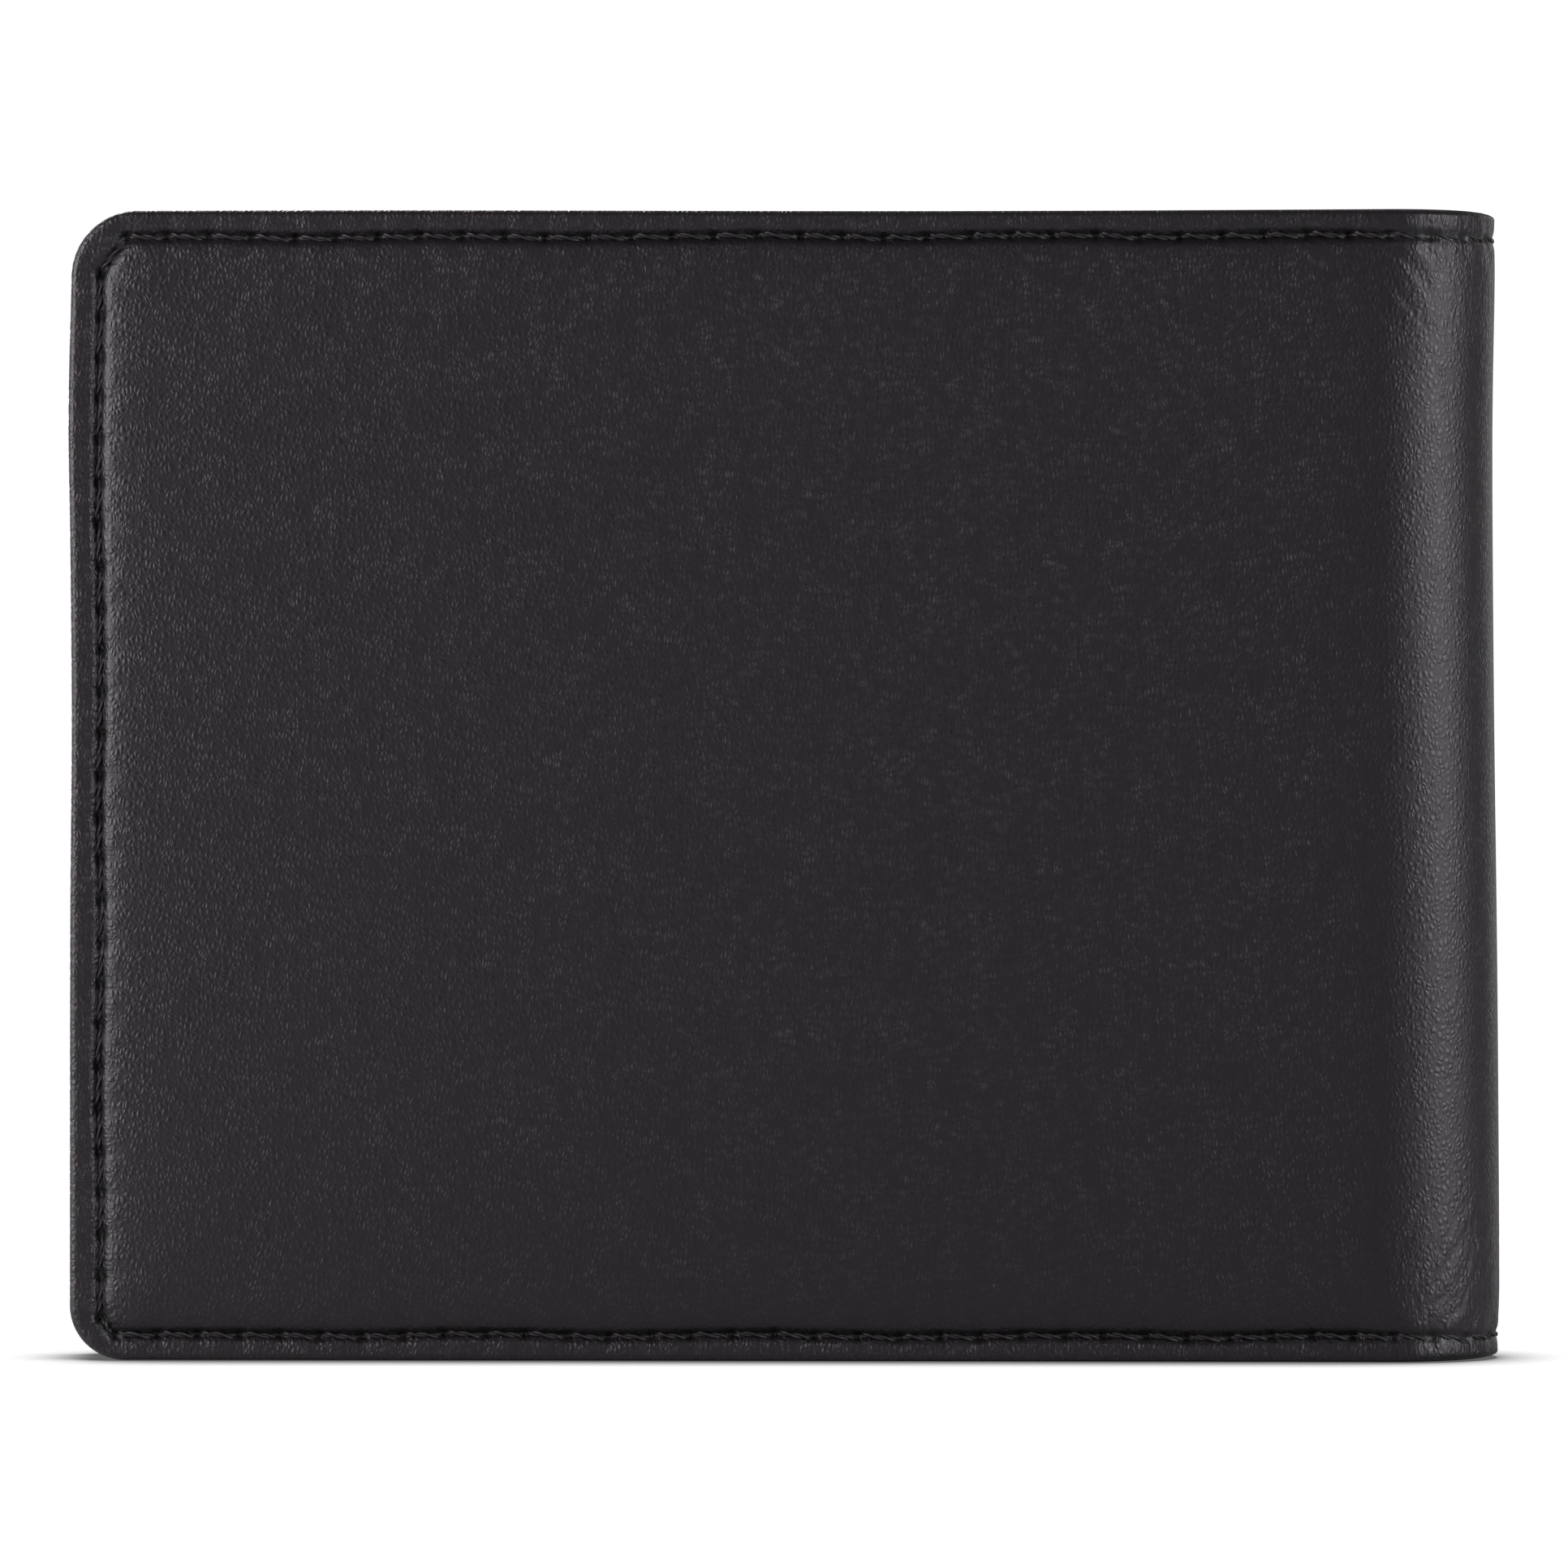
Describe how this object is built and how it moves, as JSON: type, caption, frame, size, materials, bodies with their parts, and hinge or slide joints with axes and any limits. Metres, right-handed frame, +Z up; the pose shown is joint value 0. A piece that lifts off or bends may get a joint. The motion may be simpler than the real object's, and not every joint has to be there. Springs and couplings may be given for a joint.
{
  "type": "bifold wallet",
  "caption": "Slim bifold wallet in black pebbled leather, stitched round its edges, closed and standing on its long edge. It folds open flat to card pockets and an ID window.",
  "frame": {"origin": "on the surface the closed wallet stands on, below the middle of its bounding box", "axes": "+X from the free edges towards the fold, +Y from the front half to the back half, +Z up along the fold"},
  "size_m": [0.112, 0.0164, 0.09],
  "materials": {
    "cover_leather": "soft pebbled nappa, low sheen",
    "inner_leather": "soft pebbled nappa, low sheen",
    "lining_fabric": "fine twill weave",
    "padding_foam": "thin felt-like foam",
    "stiffener_board": "matt fibre board",
    "sewing_thread": "waxed two-ply polyester thread",
    "clear_film": "clear flexible film"
  },
  "bodies": {
    "fold_middle": {"fold_leather_5": "cover_leather", "fold_lining_5": "lining_fabric", "fold_bill_wall_5": "inner_leather"},
    "front_half": {"front_cover": "cover_leather", "front_cover_padding": "padding_foam", "front_cover_board": "stiffener_board", "front_bill_lining": "lining_fabric", "front_turned_edge_bottom": "cover_leather", "front_turned_edge_side": "cover_leather", "front_bill_wall": "inner_leather", "front_pocket_backing": "lining_fabric", "front_needle_thread": "sewing_thread", "front_bobbin_thread": "sewing_thread", "front_pocket_thread": "sewing_thread", "front_card_pocket_upper": "inner_leather", "front_card_pocket_middle": "inner_leather", "front_card_pocket_lower": "inner_leather"},
    "front_fold_strip_1": {"fold_leather_1": "cover_leather", "fold_lining_1": "lining_fabric", "fold_bill_wall_1": "inner_leather"},
    "front_fold_strip_2": {"fold_leather_2": "cover_leather", "fold_lining_2": "lining_fabric", "fold_bill_wall_2": "inner_leather"},
    "front_fold_strip_3": {"fold_leather_3": "cover_leather", "fold_lining_3": "lining_fabric", "fold_bill_wall_3": "inner_leather"},
    "front_fold_strip_4": {"fold_leather_4": "cover_leather", "fold_lining_4": "lining_fabric", "fold_bill_wall_4": "inner_leather"},
    "back_fold_strip_4": {"fold_leather_6": "cover_leather", "fold_lining_6": "lining_fabric", "fold_bill_wall_6": "inner_leather"},
    "back_fold_strip_3": {"fold_leather_7": "cover_leather", "fold_lining_7": "lining_fabric", "fold_bill_wall_7": "inner_leather"},
    "back_fold_strip_2": {"fold_leather_8": "cover_leather", "fold_lining_8": "lining_fabric", "fold_bill_wall_8": "inner_leather"},
    "back_fold_strip_1": {"fold_leather_9": "cover_leather", "fold_lining_9": "lining_fabric", "fold_bill_wall_9": "inner_leather"},
    "back_half": {"back_cover": "cover_leather", "back_cover_padding": "padding_foam", "back_cover_board": "stiffener_board", "back_bill_lining": "lining_fabric", "back_turned_edge_bottom": "cover_leather", "back_turned_edge_side": "cover_leather", "back_bill_wall": "inner_leather", "back_pocket_backing": "lining_fabric", "back_needle_thread": "sewing_thread", "back_bobbin_thread": "sewing_thread", "back_pocket_thread": "sewing_thread", "back_card_pocket": "inner_leather", "id_window_frame": "inner_leather", "id_window_film": "clear_film"}
  },
  "joints": [
    {"name": "front_fold", "type": "hinge", "parent": "fold_middle", "child": "front_half", "pos_m": [0.05395, -0.00653, 0], "axis": [0, 0, 1], "range_deg": [0, 91.5]},
    {"name": "back_fold", "type": "hinge", "parent": "fold_middle", "child": "back_half", "pos_m": [0.05395, 0.00653, 0], "axis": [0, 0, -1], "range_deg": [0, 91.5]},
    {"name": "front_bend_1", "type": "hinge", "parent": "front_half", "child": "front_fold_strip_1", "pos_m": [0.04648, -0.00825, 0], "axis": [0, 0, -1], "range_deg": [0, 10.17]},
    {"name": "front_bend_2", "type": "hinge", "parent": "front_fold_strip_1", "child": "front_fold_strip_2", "pos_m": [0.05005, -0.00771, 0], "axis": [0, 0, -1], "range_deg": [0, 20.33]},
    {"name": "front_bend_3", "type": "hinge", "parent": "front_fold_strip_2", "child": "front_fold_strip_3", "pos_m": [0.05299, -0.00609, 0], "axis": [0, 0, -1], "range_deg": [0, 20.33]},
    {"name": "front_bend_4", "type": "hinge", "parent": "front_fold_strip_3", "child": "front_fold_strip_4", "pos_m": [0.05494, -0.00384, 0], "axis": [0, 0, -1], "range_deg": [0, 20.33]},
    {"name": "back_bend_1", "type": "hinge", "parent": "back_half", "child": "back_fold_strip_1", "pos_m": [0.04648, 0.00825, 0], "axis": [0, 0, 1], "range_deg": [0, 10.17]},
    {"name": "back_bend_2", "type": "hinge", "parent": "back_fold_strip_1", "child": "back_fold_strip_2", "pos_m": [0.05005, 0.00771, 0], "axis": [0, 0, 1], "range_deg": [0, 20.33]},
    {"name": "back_bend_3", "type": "hinge", "parent": "back_fold_strip_2", "child": "back_fold_strip_3", "pos_m": [0.05299, 0.00609, 0], "axis": [0, 0, 1], "range_deg": [0, 20.33]},
    {"name": "back_bend_4", "type": "hinge", "parent": "back_fold_strip_3", "child": "back_fold_strip_4", "pos_m": [0.05494, 0.00384, 0], "axis": [0, 0, 1], "range_deg": [0, 20.33]}
  ],
  "couplings": [
    {"joint": "back_fold", "follows": "front_fold", "ratio": 1},
    {"joint": "front_bend_1", "follows": "front_fold", "ratio": 0.11111},
    {"joint": "front_bend_2", "follows": "front_fold", "ratio": 0.22222},
    {"joint": "front_bend_3", "follows": "front_fold", "ratio": 0.22222},
    {"joint": "front_bend_4", "follows": "front_fold", "ratio": 0.22222},
    {"joint": "back_bend_1", "follows": "front_fold", "ratio": 0.11111},
    {"joint": "back_bend_2", "follows": "front_fold", "ratio": 0.22222},
    {"joint": "back_bend_3", "follows": "front_fold", "ratio": 0.22222},
    {"joint": "back_bend_4", "follows": "front_fold", "ratio": 0.22222}
  ]
}
